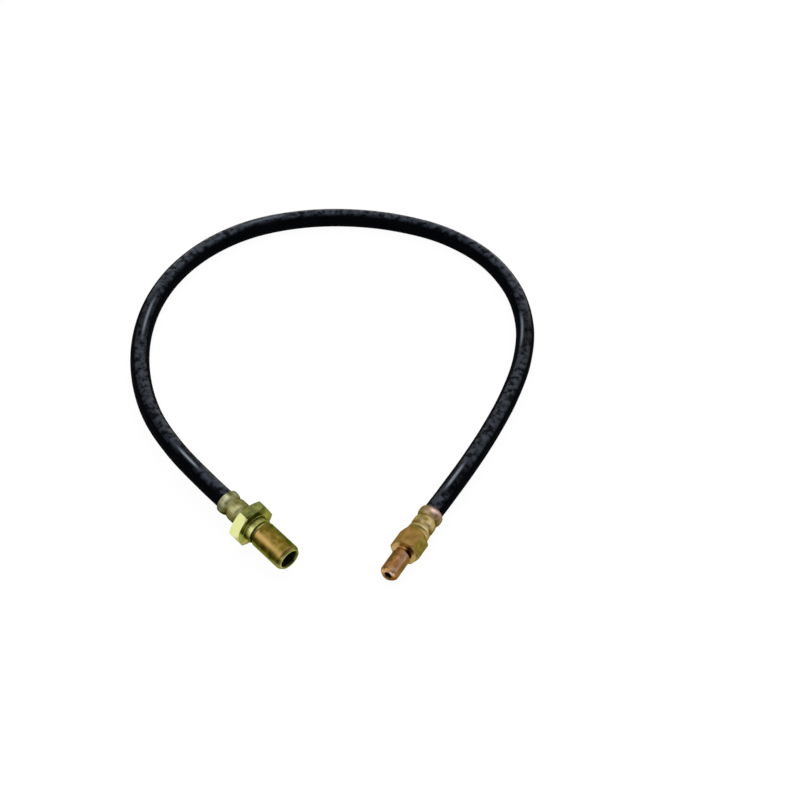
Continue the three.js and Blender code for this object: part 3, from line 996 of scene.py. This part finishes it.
def build_female_body():
    rows = Rows(ANGLES)
    rows.film_and_painted_light = rows.round_the_axis(RIM_FILM_AND_PAINTED_LIGHT)
    rows.outline([(0, 5.45), (0, 6.1)])
    rows.film_and_painted_light = rows.round_the_axis(BARREL_FILM_AND_PAINTED_LIGHT)
    rows.outline([(0.1, 6.15), (0.7, 6.55)])
    rows.warmth = rows.round_the_axis(BARREL_WARMTH)
    rows.outline([(1.0, 6.75), (1.6, 7.1), (2.2, BARREL)])
    rows.outline([(4.0, BARREL), (20.5, BARREL), (20.6, 7.0)])
    rows.warmth = 0.2
    rows.film_and_painted_light = rows.round_the_axis(GROOVE_FILM_AND_PAINTED_LIGHT)
    shade = rows.round_the_axis(GROOVE_SHADE)
    rows.put(20.7, 6.3, shade)
    for station in (20.8, 21.6, 22.4):
        rows.put(station, GROOVE_FLOOR, shade)
    rows.put(22.5, 6.3, shade)
    rows.warmth = 0.0
    rows.film_and_painted_light = rows.round_the_axis(COLLAR_FILM_AND_PAINTED_LIGHT)
    rows.outline([(22.6, 7.0), (22.7, 7.15), (22.9, BARREL), (26.3, BARREL)])
    shade = rows.round_the_axis(JUNCTION_SHADE)
    rows.put(26.6, BARREL, 0.8 * shade)
    front, back = FEMALE_HEX
    rows.film_and_painted_light = rows.round_the_axis(FRONT_FILM_AND_PAINTED_LIGHT)
    for radius, share in ((7.4, 1.0), (7.7, 0.8), (8.3, 0.2)):
        rows.put(front, radius, share * shade)
    rows.put(front, FEMALE_HEX_FACE)
    rows.film_and_painted_light = rows.on_the_flats(FEMALE_FILM_AND_PAINTED_LIGHT)
    hexagon_rows(rows, FEMALE["flats"], front, back)
    # Painted shade darkens the passage, the drilling, the port thread and the mouth of the
    # port.
    rows.outline([(back, FEMALE_HEX_FACE), *neck_points(10.0)[1:],
                  (16.2, PASSAGE, 1.0), (16.2, PORT_DRILLED, 1.0), (12.3, PORT_DRILLED, 1.0),
                  (12.2, PORT_THREAD[0], 1.0)])
    thread_rows(rows, 12.0, 1.0, *PORT_THREAD, fade_in=0.4, fade_out=0.4, painted_shade=(0.85, 1.0))
    rows.outline([(0.9, 4.5, 0.9), (0.05, 5.3, 0.5), (0, 5.4, 0.2)], 0.05)
    body = spin("female_body_look", FEMALE, rows, ZINC_GREEN)
    return stand_in(body, "female_body")


build_female_body()

# %% Flare seat, pressed into the bottom of the port
SEAT = (12.2, 15.9)                      # stations of its tip and its foot
SEAT_HOLE = 1.2
SEAT_TIP = 1.9
SEAT_RADIUS = 3.95


def build_seat():
    tip, foot = SEAT
    rows = Rows(ROUND_ANGLES)
    rows.outline([(14, SEAT_HOLE), (tip, SEAT_HOLE), (tip, SEAT_TIP), (14.25, SEAT_RADIUS),
                  (foot, SEAT_RADIUS), (foot, SEAT_HOLE), (14.1, SEAT_HOLE)])
    seat = spin("female_flare_seat_look", FEMALE, rows, BRASS)
    return stand_in(seat, "female_flare_seat")


build_seat()

# %% [markdown]
# ## The male fitting's body
#
# A threaded nose with a chamfered tip, an undercut where the thread runs out, a long hexagon
# and a round shoulder that the ferrule butts against.

# %% Male body
NOSE_THREAD = (4.42, 4.95)               # least and greatest radius
UNDERCUT = 4.2                           # radius
MALE_HEX = (17.7, 30.0)                  # stations of its two faces
MALE_HEX_FACE = 6.85                     # radius
ROUND_SHOULDER = 6.2                     # radius

# Film, warmth and painted shade round the axis: degrees from the top, value. The film values
# hold painted highlights and painted shade as well as the chromate's own tone.
MALE_FILM_AND_PAINTED_LIGHT = [(0, 0.4), (60, 0.32), (120, 0.3), (180, 0.3), (240, 0.4), (300, 0.5)]
MALE_WARMTH = [(0, 0.7), (60, 0.0), (240, 0.0), (300, 0.5)]
THREAD_FILM_AND_PAINTED_LIGHT = [(0, 0.82), (10, 0.92), (20, 0.94), (36, 1.02), (43, 1.0), (50, 0.7), (60, 0.5),
               (75, 0.52), (180, 0.2), (260, 0.25), (295, 0.5), (310, 0.45), (322, 0.4),
               (340, 0.52), (350, 0.6)]
TIP_FILM_AND_PAINTED_LIGHT = [(0, 0.85), (38, 1.15), (60, 0.85), (90, 0.35), (180, 0.4), (250, 0.6), (320, 1.0)]
SHOULDER_FILM_AND_PAINTED_LIGHT = [(0, 0.24), (20, 0.4), (40, 0.75), (52, 0.6), (70, 0.6), (90, 0.4),
                 (180, 0.2), (260, 0.2), (310, 0.36), (350, 0.25)]
UNDERCUT_FILM_AND_PAINTED_LIGHT = [(0, 0.8), (30, 0.5), (90, 0.4), (270, 0.6), (320, 0.85)]
UNDERCUT_SHADE = [(0, 0.0), (12, 0.15), (26, 0.9), (90, 1.0), (270, 0.5), (300, 0.0)]


def build_male_body():
    rows = Rows(ANGLES)
    rows.warmth = 1.0
    rows.film_and_painted_light = rows.round_the_axis(TIP_FILM_AND_PAINTED_LIGHT)
    # Painted shade darkens the passage and the inner edge of the tip.
    rows.outline([(0.8, PASSAGE, 1.0), (0, 2.1, 0.3), (0, 3.4), (0.7, 4.05)])
    rows.film_and_painted_light = rows.round_the_axis(THREAD_FILM_AND_PAINTED_LIGHT)
    rows.outline([(0.8, 4.1), (1.1, 4.4)])
    thread_rows(rows, 1.2, 15.3, *NOSE_THREAD, fade_in=0.8, fade_out=0.5, painted_shade=(0.0, 0.15))
    shade = rows.round_the_axis(UNDERCUT_SHADE)
    rows.film_and_painted_light = rows.round_the_axis(UNDERCUT_FILM_AND_PAINTED_LIGHT)
    for station, radius in ((15.35, 4.42), (15.45, 4.33), (15.55, 4.22), (15.7, UNDERCUT),
                            (16.6, UNDERCUT), (17.5, UNDERCUT), (17.6, 4.3)):
        rows.put(station, radius, shade)
    front, back = MALE_HEX
    rows.warmth = 0.0
    rows.film_and_painted_light = 0.6
    rows.outline([(front, 4.6), (front, MALE_HEX_FACE)])
    rows.film_and_painted_light = rows.on_the_flats(MALE_FILM_AND_PAINTED_LIGHT)
    rows.warmth = rows.on_the_flats(MALE_WARMTH)
    hexagon_rows(rows, MALE["flats"], front, back, chamfer=0.8)
    rows.warmth = 0.0
    rows.film_and_painted_light = rows.round_the_axis(SHOULDER_FILM_AND_PAINTED_LIGHT)
    # The last point darkens the passage as painted shade.
    rows.outline([(back, MALE_HEX_FACE), (back, ROUND_SHOULDER), (32.6, ROUND_SHOULDER),
                  (32.9, 5.9), (32.9, NECK), *neck_points(5.8)[2:], (0.9, PASSAGE, 1.0)])
    body = spin("male_body_look", MALE, rows, ZINC_GOLD)
    return stand_in(body, "male_body")


build_male_body()

# %% [markdown]
# ## The stems
#
# Inside each ferrule a thin barbed tube runs up the bore of the hose, so that the crimp
# squeezes the rubber between two walls of steel.

# %% Stems
STEM = (30, 48)                          # stations of its two ends
STEM_BORE = 0.8
STEM_RADIUS = 1.15
BARB_RADIUS = 1.32
BARBS = 4
BARB_PITCH = 2.6


def build_stem(node, fitting):
    start, end = STEM
    outline = [(40, STEM_BORE), (start, STEM_BORE), (start, BARB_RADIUS),
               (HOSE_END + 0.7, BARB_RADIUS)]
    for barb in range(BARBS):
        root = HOSE_END + 1.1 + barb * BARB_PITCH
        outline += [(root, STEM_RADIUS), (root + 0.2, BARB_RADIUS), (root + 0.9, BARB_RADIUS)]
    outline += [(end, 1.05), (end, STEM_BORE), (41, STEM_BORE)]
    rows = Rows(ROUND_ANGLES[::2])
    rows.outline(outline, 0.05)
    return stand_in(spin(node + "_look", fitting, rows, STEEL), node)


build_stem("female_stem", FEMALE)
build_stem("male_stem", MALE)
print("metal pieces made")

# %% [markdown]
# ## The surface and the light
#
# The object lies on a white sheet. A white wall stands round it, high behind it and low
# towards the camera. Above the wall the room is dim, with one large softbox overhead and soft
# patches of light above, left and right. The sheet and the wall are white to the eye and in
# the metal's reflections, and the sheet keeps a faint shadow.

# %% Floor and wall
FLOOR_SHOWS_SHADOW = 0.08
SHEET_GLOW = 1.04                        # makes glow and lit paper together come to white
WALL_RADIUS = 3.0
WALL_HIGH = 2.3
WALL_LOW = 0.65
WALL_BEHIND = math.radians(95)           # bearing of the middle of the high part
WALL_HALF_WIDTH = math.radians(90)
WALL_SLOPE = 0.4                         # radians, from high to low
RING_SIDES = 96


def make_paper(name, shows_shadow, glow_strength):
    """Diffuse paper that is white to the eye and in reflections."""
    s = Shader(name)
    rays = s.add("ShaderNodeLightPath").outputs
    seen = s.math("MAXIMUM", rays["Is Camera Ray"], rays["Is Glossy Ray"])
    seen = s.math("MAXIMUM", seen, rays["Is Transmission Ray"])
    share = s.math("MULTIPLY", seen, 1 - shows_shadow)
    paper = s.add("ShaderNodeBsdfDiffuse", {"Color": (0.95, 0.95, 0.95, 1)})
    glow = s.add("ShaderNodeEmission", {"Color": (1, 1, 1, 1), "Strength": glow_strength})
    mixed = s.add("ShaderNodeMixShader", {0: share, 1: paper.outputs[0], 2: glow.outputs[0]})
    s.tree.links.new(mixed.outputs[0], s.output.inputs["Surface"])
    return s.material


def stage_piece(name, points, faces, material):
    """A piece of the surroundings, which isn't part of the object."""
    mesh = bpy.data.meshes.new(name)
    mesh.from_pydata(points, [], faces)
    mesh.materials.append(material)
    thing = bpy.data.objects.new(name, mesh)
    bpy.context.scene.collection.objects.link(thing)


def wall_height(bearing):
    """High behind the object and low in front, with a slope between them."""
    away = abs((bearing - WALL_BEHIND + math.pi) % (2 * math.pi) - math.pi)
    step = min(max((WALL_HALF_WIDTH + WALL_SLOPE / 2 - away) / WALL_SLOPE, 0), 1)
    return WALL_LOW + (WALL_HIGH - WALL_LOW) * step * step * (3 - 2 * step)


def build_floor():
    ring = [2 * math.pi * k / RING_SIDES for k in range(RING_SIDES)]
    foot = [(WALL_RADIUS * math.cos(a), WALL_RADIUS * math.sin(a), -0.1 * MM) for a in ring]
    head = [(x, y, wall_height(a)) for a, (x, y, _) in zip(ring, foot)]
    sheet = make_paper("white paper", FLOOR_SHOWS_SHADOW, SHEET_GLOW)
    stage_piece("floor", foot, [range(RING_SIDES)], sheet)
    panels = []
    for k in range(RING_SIDES):
        following = (k + 1) % RING_SIDES
        panels.append((k, k + RING_SIDES, following + RING_SIDES, following))
    stage_piece("wall", foot + head, panels, make_paper("white wall", 0.0, 1.0))


build_floor()

# %% World and lamps


def direction(bearing, elevation):
    """A unit vector from two angles in degrees."""
    bearing, elevation = math.radians(bearing), math.radians(elevation)
    return Vector((
        math.cos(elevation) * math.cos(bearing),
        math.cos(elevation) * math.sin(bearing),
        math.sin(elevation),
    ))


class Sky(Shader):
    """The world's nodes, with the same helpers as a material."""

    def __init__(self, name):
        world = bpy.data.worlds.new(name)
        world.use_nodes = True
        self.tree = world.node_tree
        self.background = self.tree.nodes["Background"]
        bpy.context.scene.world = world

    def glow(self, towards, radiance, full, end):
        """A soft patch of light, even to full degrees from its middle and gone at end."""
        way = self.add("ShaderNodeTexCoord").outputs["Generated"]
        near = self.add("ShaderNodeVectorMath", {0: way, 1: towards}, operation="DOT_PRODUCT")
        inputs = {"Value": near.outputs["Value"], "From Min": math.cos(math.radians(end)),
                  "From Max": math.cos(math.radians(full)), "To Max": radiance}
        patch = self.add("ShaderNodeMapRange", inputs, interpolation_type="SMOOTHSTEP")
        return patch.outputs["Result"]


def build_world(dim, glows):
    """A dim room. Each glow is its bearing and elevation, its radiance, and how many degrees
    from its middle it stays even and ends."""
    s = Sky("dim room with soft light")
    total = dim
    for bearing, elevation, radiance, full, end in glows:
        patch = s.glow(direction(bearing, elevation), radiance, full, end)
        total = s.math("ADD", patch, total)
    s.tree.links.new(total, s.background.inputs["Strength"])
    s.background.inputs["Color"].default_value = (1, 1, 1, 1)


def add_lamp(name, bearing, elevation, distance, size, radiance):
    """A rectangular soft lamp that faces the middle of the object, in degrees and metres."""
    data = bpy.data.lights.new(name, "AREA")
    data.shape = "RECTANGLE"
    data.size, data.size_y = size
    data.energy = radiance * math.pi * size[0] * size[1]
    away = direction(bearing, elevation)
    lamp = bpy.data.objects.new(name, data)
    lamp.location = AIM + away * distance
    lamp.rotation_euler = (-away).to_track_quat("-Z", "Y").to_euler()
    bpy.context.scene.collection.objects.link(lamp)


build_world(dim=0.2, glows=[
    (62, 68, 0.5, 20, 72),               # overhead, round the softbox
    (154, 40, 0.6, 12, 34),              # left
    (-8, 40, 0.5, 14, 34),               # right, high
    (-32, 16, 0.5, 10, 28),              # right, low
])
add_lamp("softbox", bearing=64, elevation=66, distance=1.2, size=(1.15, 1.05), radiance=0.6)
print("light and surface made")

# %% View settings
bpy.context.scene.view_settings.view_transform = "Standard"
